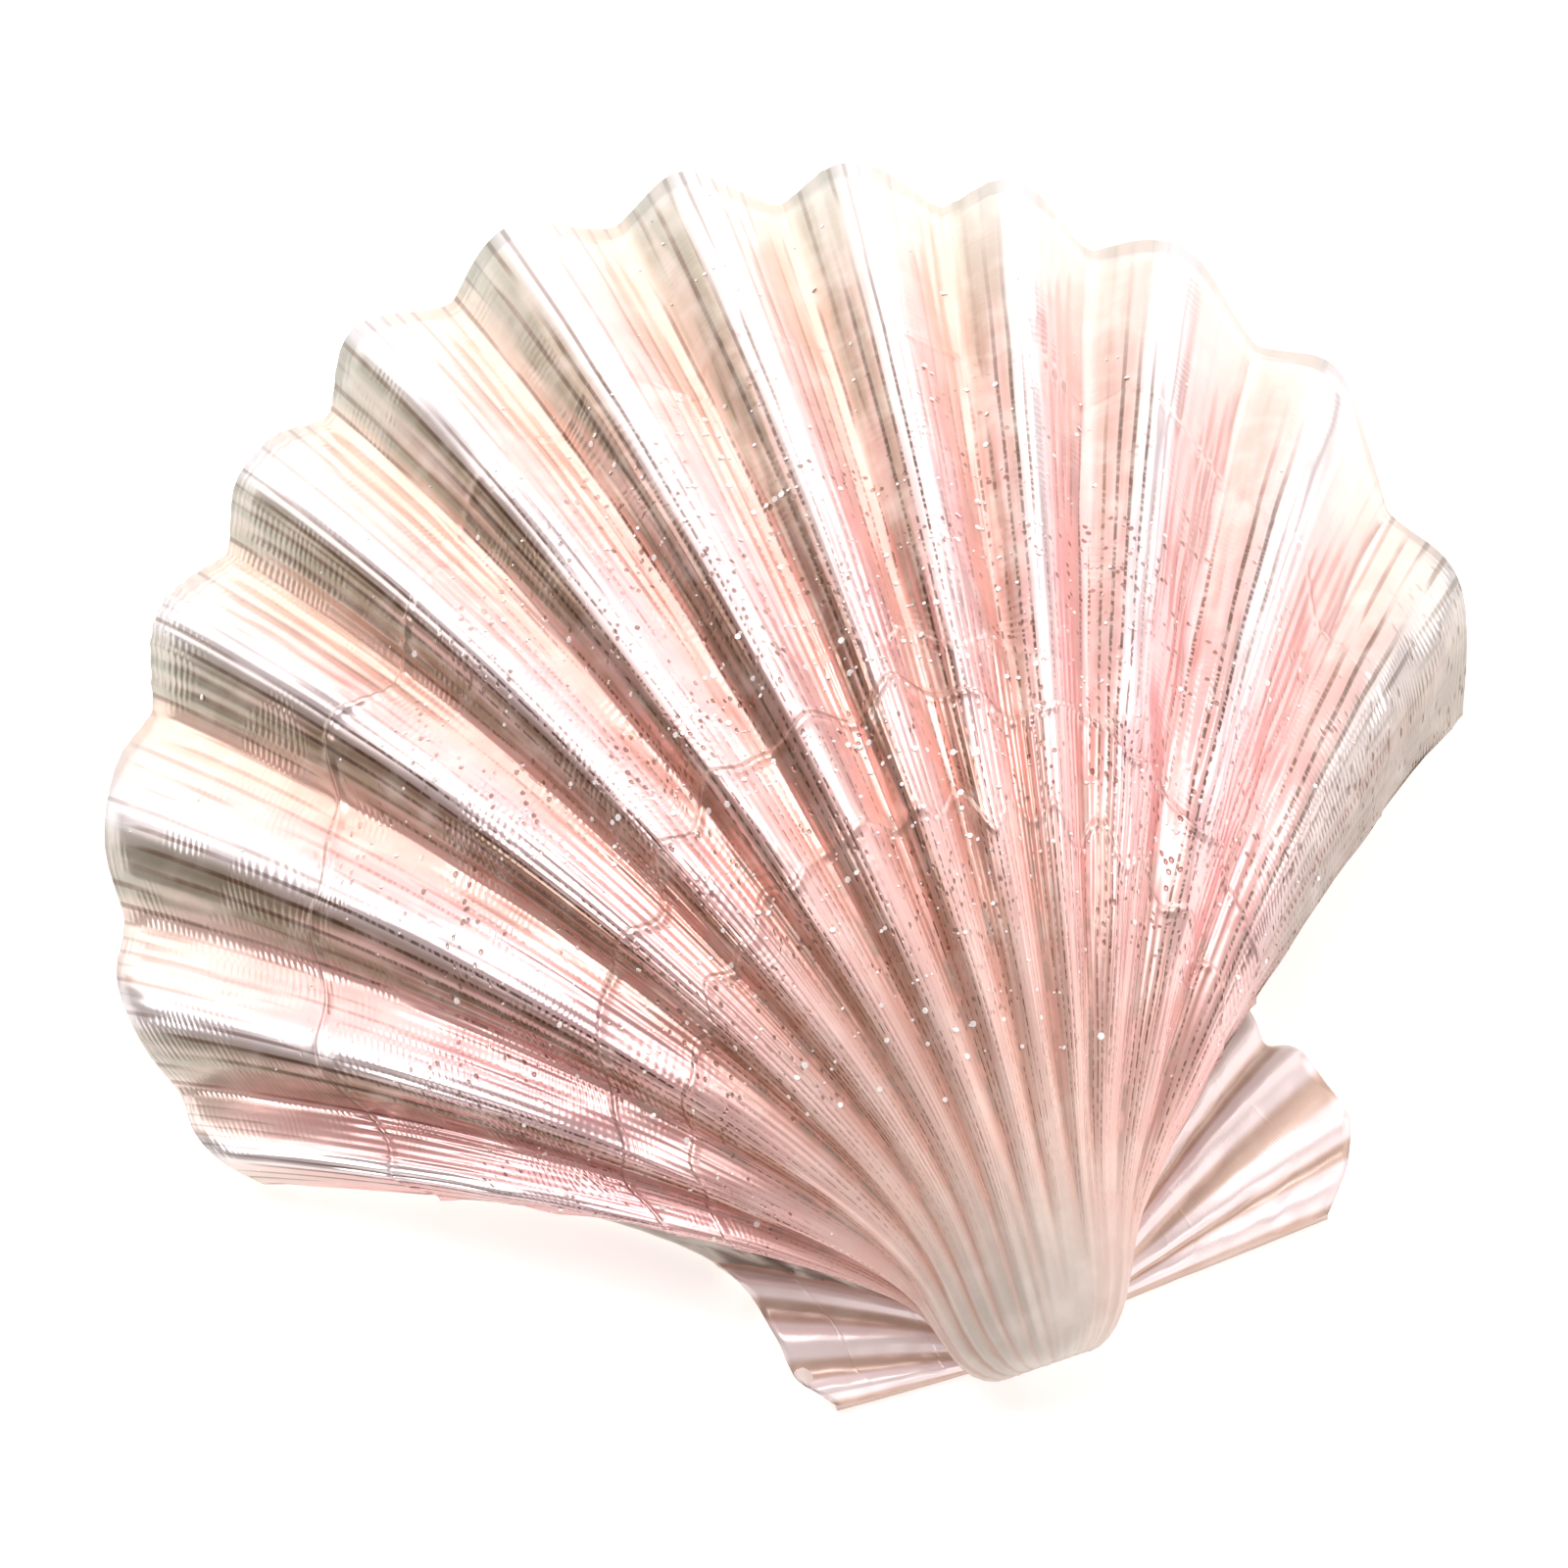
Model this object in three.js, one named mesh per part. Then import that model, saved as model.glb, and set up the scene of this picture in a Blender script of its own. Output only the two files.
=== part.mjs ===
// One valve of a scallop shell, lying on its open side with the ribbed dome up.
//
// A shell grows by adding a little to its margin, so every earlier stage of it is a
// smaller copy of the margin that has been rolled up and back about the hinge line.
// The model is made the same way: one margin curve, seen from above, is scaled down
// towards the beak and rolled by the logarithm of its scale. The ribs are raised along
// the surface normal and shrink with the stage that carries them.
//
// Units are millimetres. +X runs along the hinge line, +Y from the beak to the fan
// margin, +Z up. The origin ends up at the bottom centre of the bounding box.

import * as THREE from 'three';

// ---- Driving dimensions --------------------------------------------------------

// Margin of the ribbed disc at the foot of each rib: [bearing in degrees, radius].
// Bearings are seen from above about the growth centre, counted from the +X hinge line.
const RIB_FEET = [
  [150.2, 83], [144.6, 95], [135.1, 108.5], [124, 119.5], [114.9, 127], [106.5, 133.5],
  [98.5, 138.5], [90.1, 139.8], [82.5, 137.5], [74.9, 134.5], [67.6, 128.5], [58.5, 118.5],
  [48.3, 102], [37, 83],
];
const RIB_COUNT = RIB_FEET.length - 1;

// Margin from the last rib foot down the flank to the notch, and round the ear.
const LEFT_SIDE = [
  [150.2, 83], [149, 74], [147.3, 54], [148, 43], [151, 35],
  [157, 30.6], [168, 27.8], [179, 26.6], [187, 24],
];
const RIGHT_SIDE = [
  [37, 83], [38.1, 74], [39, 59], [40.3, 48], [39, 41.5],
  [33, 38.2], [26, 39.4], [15, 38.6], [8, 36], [0, 31.5],
];
const NOTCH_STATION = 4;       // place of the notch in both side lists

const ROLL = 0.58;             // how fast the outside rolls up; it sets the dome's height
const INNER_ROLL = 0.565;      // the inside rolls less, so the wall thickens to the hinge
const RIB_HEIGHT = 5;          // at the margin
const RIB_CREST_SKEW = 0.86;   // below 1, a crest leans towards the left foot of its rib
const RIB_ROUNDNESS = 0.8;     // below 1, ribs are broad and grooves narrow
const INNER_RIB_SHARE = 0.85;  // how much of the rib shows inside, at the margin
const EAR_FOLD_HEIGHT = 1.1;   // at the ear's edge
const LEFT_EAR_FOLDS = 3;
const RIGHT_EAR_FOLDS = 4;
const EDGE_THICKNESS = 1.4;    // of the wall at the margin, measured upright
const RIM_INSET = 1;           // how far the inner margin lies inside the outer one
// Outer edge of the hinge line beside the beak.
const LEFT_HINGE_Y = -4.4;
const RIGHT_HINGE_Y = -2;
const LEDGE_Y = 3.2;           // inner edge of the flat hinge ledge

// The beak curls over the hinge line and stays broad to its end.
const BEAK_SPREAD = 0.8;
const BEAK_REACH = 7;
const BEAK_LEAN = -2;
const BEAK_LIFT = 1;
const BEAK_STAGE = 0.1;        // the stage at which the beak starts to reach back
const BEAK_TIP_STAGE = 0.025;  // below this stage it tucks in again
const BEAK_TUCK = 0.5;

// Growth stages that carry a row of points: 1 is the margin, 0 would be the beak's tip.
const STAGES = [1, 0.925, 0.84, 0.75, 0.65, 0.55, 0.45, 0.355, 0.265, 0.185, 0.12, 0.07, 0.035];
const COLUMNS_PER_RIB = 6;
const COLUMNS_PER_SIDE_STATION = 2;
const COLUMNS_PER_EAR_STATION = 4;

// ---- Margin --------------------------------------------------------------------

function spline(pairs) {
  return new THREE.SplineCurve(pairs.map(([bearing, radius]) => new THREE.Vector2(bearing, radius)));
}

function planPoint(polar) {
  const bearing = THREE.MathUtils.degToRad(polar.x);
  return new THREE.Vector2(polar.y * Math.cos(bearing), polar.y * Math.sin(bearing));
}

// Height of a rib across its width, 0 at the feet and 1 at the crest.
function ribShape(phase) {
  const skewed = phase ** RIB_CREST_SKEW;
  return (0.5 - 0.5 * Math.cos(2 * Math.PI * skewed)) ** RIB_ROUNDNESS;
}

// Columns of one flank and ear, from the rib foot to the tip of the hinge line.
function sideColumns(stations, foldCount, hingeY) {
  const curve = spline(stations);
  const last = stations.length - 1;
  const columns = [];
  let station = 0;
  while (station < last) {
    const onEar = station >= NOTCH_STATION;
    station += 1 / (onEar ? COLUMNS_PER_EAR_STATION : COLUMNS_PER_SIDE_STATION);
    const across = Math.max(0, (station - NOTCH_STATION) / (last - NOTCH_STATION));
    columns.push({
      plan: planPoint(curve.getPoint(Math.min(1, station / last))),
      relief: EAR_FOLD_HEIGHT * Math.sin(Math.PI * foldCount * across) ** 2,
      beakShare: Math.max(0, 1 - station / NOTCH_STATION),
      hingeY,
      isEar: onEar,
    });
  }
  return columns;
}

function discColumns() {
  const curve = spline(RIB_FEET);
  const count = RIB_COUNT * COLUMNS_PER_RIB;
  const columns = [];
  for (let index = 0; index <= count; index += 1) {
    columns.push({
      plan: planPoint(curve.getPoint(index / count)),
      relief: RIB_HEIGHT * ribShape((index % COLUMNS_PER_RIB) / COLUMNS_PER_RIB),
      beakShare: 1,
      hingeY: 0,
      isEar: false,
    });
  }
  return columns;
}

// All columns, from the left tip of the hinge line round the fan to the right tip.
function outerMargin() {
  return [
    ...sideColumns(LEFT_SIDE, LEFT_EAR_FOLDS, LEFT_HINGE_Y).reverse(),
    ...discColumns(),
    ...sideColumns(RIGHT_SIDE, RIGHT_EAR_FOLDS, RIGHT_HINGE_Y),
  ];
}

// Direction of the margin at each column, in plan.
function marginDirections(columns) {
  return columns.map((column, index) => {
    const before = columns[Math.max(0, index - 1)].plan;
    const after = columns[Math.min(columns.length - 1, index + 1)].plan;
    return after.clone().sub(before).normalize();
  });
}

// The inner margin lies a little inside the outer one, and ends on the ledge's inner edge.
function innerMargin(columns) {
  const directions = marginDirections(columns);
  const tipOf = { left: columns[0].plan.y, right: columns[columns.length - 1].plan.y };
  const middle = columns.length / 2;
  const notchOf = {
    left: columns.find((column) => !column.isEar).plan.y,
    right: columns.findLast((column) => !column.isEar).plan.y,
  };
  return columns.map((column, index) => {
    const outward = new THREE.Vector2(-directions[index].y, directions[index].x);
    const plan = column.plan.clone().addScaledVector(outward, -RIM_INSET);
    if (column.isEar) {
      const side = index < middle ? 'left' : 'right';
      const rise = (column.plan.y - tipOf[side]) / (notchOf[side] - tipOf[side]);
      plan.y = LEDGE_Y + rise * (notchOf[side] - LEDGE_Y);
    }
    return { ...column, plan: plan.sub(new THREE.Vector2(0, LEDGE_Y)) };
  });
}

// ---- Growth --------------------------------------------------------------------

// A margin point at an earlier stage, with the rib or fold raised along the normal.
function growthPoint(column, direction, stage, roll, reliefShare) {
  const angle = roll * Math.log(1 / stage);
  const [c, s] = [Math.cos(angle), Math.sin(angle)];
  const { x, y } = column.plan;
  const alongMargin = new THREE.Vector3(direction.x, direction.y * c, direction.y * s);
  const alongGrowth = new THREE.Vector3(x, y * (c + roll * s), y * (s - roll * c));
  const normal = alongMargin.cross(alongGrowth).normalize();
  return new THREE.Vector3(x * stage, y * stage * c, y * stage * s)
    .addScaledVector(normal, column.relief * stage * reliefShare);
}

// Share of the beak's reach at a stage: none on the disc, most near the beak's tip.
function beakCurl(stage) {
  const start = 1 / (1 + (stage / BEAK_STAGE) ** 4);
  const tuck = 1 - BEAK_TUCK * Math.exp(-((stage / BEAK_TIP_STAGE) ** 2));
  return start * tuck;
}

function outerPoint(column, direction, stage) {
  const point = growthPoint(column, direction, stage, ROLL, 1);
  const curl = beakCurl(stage) * column.beakShare;
  point.x = point.x * (1 + BEAK_SPREAD * curl) + BEAK_LEAN * curl;
  point.y += column.hingeY * (1 - stage) * (1 - column.beakShare) - BEAK_REACH * curl;
  point.z += BEAK_LIFT * curl + EDGE_THICKNESS;
  return point;
}

function innerPoint(column, direction, stage) {
  const point = growthPoint(column, direction, stage, INNER_ROLL, INNER_RIB_SHARE * stage);
  point.y += LEDGE_Y;
  return point;
}

function growthRows(columns, pointAt) {
  const directions = marginDirections(columns);
  return STAGES.map((stage) => columns.map((column, index) => pointAt(column, directions[index], stage)));
}

// ---- Solid ---------------------------------------------------------------------

class Skin {
  constructor() {
    this.positions = [];
    this.indices = [];
  }

  add(point) {
    this.positions.push(point.x, point.y, point.z);
    return this.positions.length / 3 - 1;
  }

  // Quads between two equally long rows of point numbers.
  bridge(rowA, rowB) {
    for (let index = 0; index + 1 < rowA.length; index += 1) {
      this.indices.push(rowA[index], rowA[index + 1], rowB[index + 1]);
      this.indices.push(rowA[index], rowB[index + 1], rowB[index]);
    }
  }

  // Triangles from a centre point to a row.
  fan(row, centre) {
    for (let index = 0; index + 1 < row.length; index += 1) {
      this.indices.push(row[index], row[index + 1], centre);
    }
  }

  geometry() {
    const geometry = new THREE.BufferGeometry();
    geometry.setAttribute('position', new THREE.Float32BufferAttribute(this.positions, 3));
    geometry.setIndex(this.indices);
    geometry.computeVertexNormals();
    return geometry;
  }
}

// One side of the wall: its rows, the cap that closes its smallest row, and its open edge,
// which runs along the margin, down the right hinge line, over the cap and back.
function addSheet(skin, rows, facesUp) {
  const numbers = rows.map((row) => row.map((point) => skin.add(point)));
  const smallest = numbers[numbers.length - 1];
  const lastRow = rows[rows.length - 1];
  const centre = skin.add(lastRow[0].clone().add(lastRow[lastRow.length - 1]).multiplyScalar(0.5));
  for (let index = 0; index + 1 < numbers.length; index += 1) {
    const [outer, inner] = [numbers[index], numbers[index + 1]];
    if (facesUp) skin.bridge(inner, outer);
    else skin.bridge(outer, inner);
  }
  const capRow = facesUp ? [...smallest].reverse() : smallest;
  skin.fan(capRow, centre);
  const rightHinge = numbers.slice(1).map((row) => row[row.length - 1]);
  const leftHinge = numbers.slice(1).map((row) => row[0]).reverse();
  return [...numbers[0], ...rightHinge, centre, ...leftHinge, numbers[0][0]];
}

function valveGeometry() {
  const outerColumns = outerMargin();
  const innerColumns = innerMargin(outerColumns);
  const skin = new Skin();
  const outerEdge = addSheet(skin, growthRows(outerColumns, outerPoint), true);
  const innerEdge = addSheet(skin, growthRows(innerColumns, innerPoint), false);
  const pointOf = (number) => new THREE.Vector3().fromArray(skin.positions, number * 3);
  const lowerEdge = outerEdge.slice(0, -1).map((number, index) => {
    const point = pointOf(number);
    point.z = pointOf(innerEdge[index]).z;
    return skin.add(point);
  });
  lowerEdge.push(lowerEdge[0]);
  skin.bridge(outerEdge, lowerEdge);
  skin.bridge(lowerEdge, innerEdge);
  return skin.geometry();
}

// Moves a geometry so that the bottom centre of its bounding box is the origin.
function settle(geometry) {
  geometry.computeBoundingBox();
  const { min, max } = geometry.boundingBox;
  geometry.translate(-(min.x + max.x) / 2, -(min.y + max.y) / 2, -min.z);
  return geometry;
}

const pearl = new THREE.MeshStandardMaterial({ color: '#f0cfc4', roughness: 0.28, metalness: 0.45 });

const valve = new THREE.Mesh(settle(valveGeometry()), pearl);
valve.name = 'scallop_valve';

const part = new THREE.Group();
part.add(valve);

export default part;
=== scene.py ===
# %% [markdown]
# # A scallop valve with a pearl lacquer
#
# A scallop shell has two valves. This lesson builds one of them, lying on its open side
# with the ribbed dome up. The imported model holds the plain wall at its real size. Here the
# wall gets its fine ribs, its growth steps, its lacquer and the glitter that was
# scattered into it.

import math

import bmesh
import bpy
import numpy as np
from mathutils import Matrix, Vector


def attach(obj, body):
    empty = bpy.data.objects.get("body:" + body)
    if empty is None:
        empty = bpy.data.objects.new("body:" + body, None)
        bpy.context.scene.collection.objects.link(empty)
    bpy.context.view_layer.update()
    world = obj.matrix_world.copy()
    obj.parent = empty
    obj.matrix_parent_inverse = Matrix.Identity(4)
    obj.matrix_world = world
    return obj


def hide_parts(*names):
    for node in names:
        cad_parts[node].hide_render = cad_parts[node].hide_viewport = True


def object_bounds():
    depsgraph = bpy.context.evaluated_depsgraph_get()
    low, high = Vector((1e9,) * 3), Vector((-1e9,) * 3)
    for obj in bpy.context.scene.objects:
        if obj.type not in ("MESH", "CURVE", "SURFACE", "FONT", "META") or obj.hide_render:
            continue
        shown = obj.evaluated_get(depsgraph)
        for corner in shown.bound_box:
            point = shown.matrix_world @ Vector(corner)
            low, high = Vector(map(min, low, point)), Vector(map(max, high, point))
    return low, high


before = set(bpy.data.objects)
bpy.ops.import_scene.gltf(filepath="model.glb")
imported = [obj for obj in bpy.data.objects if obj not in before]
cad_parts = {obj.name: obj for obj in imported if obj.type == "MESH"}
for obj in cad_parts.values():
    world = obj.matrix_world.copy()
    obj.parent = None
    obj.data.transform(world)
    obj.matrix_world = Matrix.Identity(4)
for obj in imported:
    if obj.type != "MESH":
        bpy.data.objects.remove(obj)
cad_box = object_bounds()
MM = 0.001
print("CAD box in mm:", [[round(c / MM, 1) for c in corner] for corner in cad_box])

# %% [markdown]
# ## How the shell grew
#
# A shell only grows at its margin. Each earlier margin is a smaller copy of the last one,
# rolled up and back about the hinge line. So the outline seen from above, one number for
# the roll and one for the rib height give the whole wall. The same rule is used here with
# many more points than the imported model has, because the fine ribs are real relief that
# has to catch the light.

# %% The margin seen from above
# [bearing in degrees, radius in mm] about the growth centre, at the foot of each rib.
RIB_FEET = np.array([
    [150.2, 83], [144.6, 95], [135.1, 108.5], [124, 119.5], [114.9, 127], [106.5, 133.5],
    [98.5, 138.5], [90.1, 139.8], [82.5, 137.5], [74.9, 134.5], [67.6, 128.5], [58.5, 118.5],
    [48.3, 102], [37, 83],
])
RIB_COUNT = len(RIB_FEET) - 1

# From the last rib foot down the flank to the notch, then round the ear to the hinge line.
LEFT_SIDE = np.array([
    [150.2, 83], [149, 74], [147.3, 54], [148, 43], [151, 35],
    [157, 30.6], [168, 27.8], [179, 26.6], [187, 24],
])
RIGHT_SIDE = np.array([
    [37, 83], [38.1, 74], [39, 59], [40.3, 48], [39, 41.5],
    [33, 38.2], [26, 39.4], [15, 38.6], [8, 36], [0, 31.5],
])
NOTCH = 4          # place of the notch in both side lists
LEFT_FOLDS = 3
RIGHT_FOLDS = 4
LEFT_HINGE_Y = -4.4     # outer edge of the hinge line beside the beak
RIGHT_HINGE_Y = -2


def spline(points, places):
    """Points on a smooth curve through the given ones. A place of 2.5 is halfway from 2 to 3."""
    padded = np.vstack([points[:1], points, points[-1:]])
    span = np.minimum(places.astype(int), len(points) - 2)
    t = (places - span)[:, None]
    before, start, end, after = (padded[span + step] for step in range(4))
    return 0.5 * (2 * start + (end - before) * t
                  + (2 * before - 5 * start + 4 * end - after) * t**2
                  + (3 * start - before - 3 * end + after) * t**3)


def plan(polar):
    """Bearings and radii as x and y."""
    bearing = np.radians(polar[:, 0])
    return np.stack([polar[:, 1] * np.cos(bearing), polar[:, 1] * np.sin(bearing)], axis=1)


# %% Columns along the margin
COLUMNS_PER_RIB = 66
FLANK_COLUMNS = 20
EAR_COLUMNS = 50
CREST_SKEW = 0.86      # below 1, a crest leans towards the left foot of its rib
ROUNDNESS = 0.8        # below 1, ribs are broad and grooves narrow
FLANK_WIDTH = 0.8      # of a flank, counted in ribs
EAR_WIDTH = 1.6        # of an ear, counted in ribs


def rib_shape(phase):
    """Height across a rib: 0 at its feet and 1 at its crest."""
    return (0.5 - 0.5 * np.cos(2 * np.pi * phase**CREST_SKEW)) ** ROUNDNESS


def side_columns(stations, folds, hinge_y, sign):
    """The flank and the ear, from the first column past the rib foot to the hinge tip."""
    last = len(stations) - 1
    flank = np.linspace(0, NOTCH, FLANK_COLUMNS + 1)[1:]
    ear = np.linspace(NOTCH, last, EAR_COLUMNS + 1)[1:]
    place = np.concatenate([flank, ear])
    on_flank = np.clip(place / NOTCH, 0, 1)
    on_ear = np.clip((place - NOTCH) / (last - NOTCH), 0, 1)
    foot = 0 if sign < 0 else RIB_COUNT
    return {
        "plan": plan(spline(stations, place)),
        "rib": foot + sign * (FLANK_WIDTH * on_flank + EAR_WIDTH * on_ear),
        "crest": np.zeros(len(place)),
        "fold": np.sin(np.pi * folds * on_ear) ** 2,
        "ear": (place > NOTCH).astype(float),
        "beak": 1 - on_flank,
        "hinge": np.full(len(place), float(hinge_y)),
    }


def disc_columns():
    """The ribbed disc, from its left foot to its right foot."""
    place = np.linspace(0, RIB_COUNT, RIB_COUNT * COLUMNS_PER_RIB + 1)
    none = np.zeros(len(place))
    return {
        "plan": plan(spline(RIB_FEET, place)), "rib": place, "crest": rib_shape(place % 1),
        "fold": none, "ear": none, "beak": none + 1, "hinge": none,
    }


left = side_columns(LEFT_SIDE, LEFT_FOLDS, LEFT_HINGE_Y, -1)
right = side_columns(RIGHT_SIDE, RIGHT_FOLDS, RIGHT_HINGE_Y, 1)
disc = disc_columns()
columns = {key: np.concatenate([left[key][::-1], disc[key], right[key]]) for key in disc}
column_count = len(columns["rib"])
print("columns round the margin:", column_count)

# %% [markdown]
# ## Growth rings and rows
#
# When growth stops for a while, the margin leaves a step: the next growth starts a little
# lower and often with a thin raised lip. A step is narrow, so the rows of points have to
# follow it. Each ring therefore bends the rows near it, and brings seven close rows of its
# own, which is cheaper than many rows everywhere.

# %% Rings and the rows that follow them
rng = np.random.default_rng(7)
BEAK_END = 0.035        # the smallest stage that has a row

# stage, depth of the step in mm, first and last rib that it crosses
RINGS = [
    (0.77, 0.55, -2, 4.6), (0.795, 0.2, 4.6, 15), (0.51, 0.22, 6.5, 9.5),
    (0.465, 0.38, -2, 15), (0.38, 0.3, -2, 15),
]
RING_WOBBLE = 0.009     # of a stage
RING_ROW_GAP = 0.0028   # between the close rows of a ring, as a stage
RING_ROWS = range(-3, 4)
RING_REACH = 0.035      # stages round a ring whose rows follow its wobble
RING_CLEARANCE = 0.012  # even rows nearer to a ring than this are left out
OUTER_ROWS = 46
ROW_CROWDING = 0.6      # below 1, rows crowd towards the beak


def ripple(across, along, waves, seed):
    """A smooth random field between about -1 and 1, as a sum of a few waves."""
    draw = np.random.default_rng(seed)
    total = 0
    for wave in range(waves):
        pitch_across, pitch_along = draw.uniform(0.3, 1.6), draw.uniform(0.5, 3.0)
        turn = draw.uniform(0, 2 * np.pi)
        total = total + np.sin(2 * np.pi * (pitch_across * across + pitch_along * along) + turn)
    return total / waves**0.5


def outer_stages():
    """Stages of the outer rows, from the beak to the margin."""
    even = np.linspace(BEAK_END**ROW_CROWDING, 1, OUTER_ROWS) ** (1 / ROW_CROWDING)
    close = [ring[0] + step * RING_ROW_GAP for ring in RINGS for step in RING_ROWS]
    apart = [s for s in even if min(abs(s - ring[0]) for ring in RINGS) > RING_CLEARANCE]
    return np.sort(np.concatenate([apart, close]))


def bend_rows(stages, rib):
    """The stage of each row at each column: rows near a ring follow its wobble."""
    stage = np.repeat(stages[:, None], len(rib), axis=1)
    for number, (ring, _, _, _) in enumerate(RINGS):
        wobble = RING_WOBBLE * ripple(rib, 0, waves=5, seed=20 + number)
        nearness = np.exp(-(((stages[:, None] - ring) / RING_REACH) ** 2))
        stage = stage + wobble[None, :] * nearness
    return stage


base_stage = outer_stages()
outer_stage = bend_rows(base_stage, columns["rib"])
print("outer rows:", len(base_stage))

# %% [markdown]
# ## Relief
#
# The main ribs are about 18 mm apart at the margin. Each carries eleven fine ribs, 1.6 mm
# apart there. Both are raised along the surface normal and shrink with the stage that
# carries them, so the relief fades out towards the beak, which is also rubbed smooth.

# %% Relief of the outside
RIB_HEIGHT = 5.0
EAR_FOLD_HEIGHT = 1.1
FINE_RIBS = 11          # on each main rib
FINE_RIB_HEIGHT = 0.3   # of the strongest ones
SMOOTH_BEAK = (0.06, 0.2)       # stages between which the worn beak gets its fine ribs
UNEVENNESS = 0.22       # slow swells of the wall
BEAK_RELIEF = 0.45      # share of the rib height that is left at the rubbed beak
WORN_RIB, WORN_STAGE = 9.2, 0.08     # middle of a spot that is rubbed nearly smooth
WORN_RIBS, WORN_STAGES = 4.2, 0.075  # its half width, in ribs and in stages
WORN_SHARE = 0.9        # of the relief, lost in the middle of the spot
FULL_FINE_STAGE = 0.4   # below it the fine ribs shrink with the stage
FULL_RIB_STAGE = 0.25   # below it the main ribs are rubbed down
SMOOTH_RIBS, SMOOTH_STAGES = (8, 10), (0.72, 0.88)      # where the right margin gets smooth
SMOOTHED = 0.6          # of the fine ribs, lost there
EAR_RELIEF = 0.3        # share of the fine relief that an ear has
RIB_VARIATION = 0.07    # of a rib's height, from rib to rib
BEAK_VARIATION, BEAK_VARIED = 0.35, (0.34, 0.14)        # the same near the beak, and where
LIP_HEIGHT, LIP_REACH = 0.7, 0.0038     # of a ring's lip, in depths and in stages
DROP, HEALING = 0.35, 0.16              # behind the lip, in depths and in stages
RING_END = 6            # how sharply a ring ends at its last rib
EAR_RING_LOSS = 0.85    # of a ring, lost on the ears

fine_strength = rng.uniform(0.2, 1.0, 400)
fine_drift = rng.uniform(-0.35, 0.35, 60)


def climb(value, low, high):
    """Goes evenly from 0 to 1 between low and high, or down if low is the larger."""
    return np.clip((value - low) / (high - low), 0, 1)


def fine_count(rib):
    """Number of fine ribs passed on the way round, unevenly spaced."""
    return rib * FINE_RIBS + 100 + np.interp(rib, np.arange(60) / 2 - 8, fine_drift)


def fine_ribs(rib, stage):
    """Narrow rounded cords, each of its own strength, that come and go in patches."""
    count = fine_count(rib)
    strength = fine_strength[np.round(count).astype(int)]
    cord = strength * (0.5 + 0.5 * np.cos(2 * np.pi * count)) ** 1.3
    patch = np.clip(0.55 + 0.6 * ripple(rib * 0.5, stage * 2, waves=6, seed=11), 0.12, 1)
    grown = climb(stage, *SMOOTH_BEAK) * climb(stage, 0, FULL_FINE_STAGE)
    right_margin = climb(rib, *SMOOTH_RIBS) * climb(stage, *SMOOTH_STAGES)
    return cord * patch * grown * (1 - SMOOTHED * right_margin)


def ring_steps(base, stage, rib):
    """Steps at the growth rings: a raised lip before each, a drop after it that heals slowly."""
    height = np.zeros_like(stage)
    for ring, depth, first, last in RINGS:
        behind = base[:, None] - ring
        begun = 1 / (1 + np.exp(-(rib - first) * RING_END))
        reach = begun / (1 + np.exp((rib - last) * RING_END))
        lip = LIP_HEIGHT * np.exp(-((behind / LIP_REACH) ** 2))
        drop = np.where(behind > RING_ROW_GAP / 2, DROP * np.exp(-behind / HEALING), 0)
        reach = reach * (1 - EAR_RING_LOSS * columns["ear"])
        height = height + depth * reach[None, :] * (lip - drop)
    return height


def wear(rib, stage):
    """How far the beak's spot is rubbed smooth, from 0 to 1."""
    across, along = (rib - WORN_RIB) / WORN_RIBS, (stage - WORN_STAGE) / WORN_STAGES
    return np.exp(-(across**2) - along**2)


def outer_relief(base, stage):
    """Height of all relief in mm, for each row and column."""
    rib = columns["rib"]
    carved = 1 - (1 - EAR_RELIEF) * columns["ear"]
    varied = BEAK_VARIATION * climb(stage, *BEAK_VARIED) * ripple(rib * 0.5, 0, waves=5, seed=31)
    per_rib = 1 + RIB_VARIATION * ripple(rib, stage, waves=6, seed=3) + varied
    rubbed = BEAK_RELIEF + (1 - BEAK_RELIEF) * climb(stage, 0, FULL_RIB_STAGE)
    worn_spot = WORN_SHARE * wear(rib, stage)
    main = RIB_HEIGHT * columns["crest"] * stage * per_rib * rubbed * (1 - worn_spot)
    folds = EAR_FOLD_HEIGHT * columns["fold"] * stage
    fine = FINE_RIB_HEIGHT * fine_ribs(rib, stage) * carved
    swell = UNEVENNESS * ripple(rib * 1.4, stage * 3, waves=7, seed=5) * np.minimum(1, stage * 2)
    return main + folds + fine + swell * carved + ring_steps(base, stage, rib)


# %% Growth from the margin
ROLL = 0.58             # radians, each time the shell grows e times as large
INNER_ROLL = 0.565      # the same for the inside
EDGE_THICKNESS = 1.4    # mm, upright, at the margin
RIM_INSET = 1.0         # mm, of the inner margin from the outer one
LEDGE_Y = 3.2           # mm, inner edge of the hinge ledge
BEAK_SPREAD = 0.8       # share by which the beak is wider than the growth rule makes it
BEAK_REACH, BEAK_LEAN, BEAK_LIFT = 7.0, -2.0, 1.0       # mm, past the hinge line, left and up
BEAK_STAGE = 0.1        # the stage where half of that is gone
BEAK_TIP_STAGE, BEAK_TUCK = 0.025, 0.5      # the tip is tucked back by half


def directions(points):
    """Direction of the margin at each column."""
    before = np.vstack([points[:1], points[:-1]])
    after = np.vstack([points[1:], points[-1:]])
    step = after - before
    return step / np.linalg.norm(step, axis=1, keepdims=True)


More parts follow.
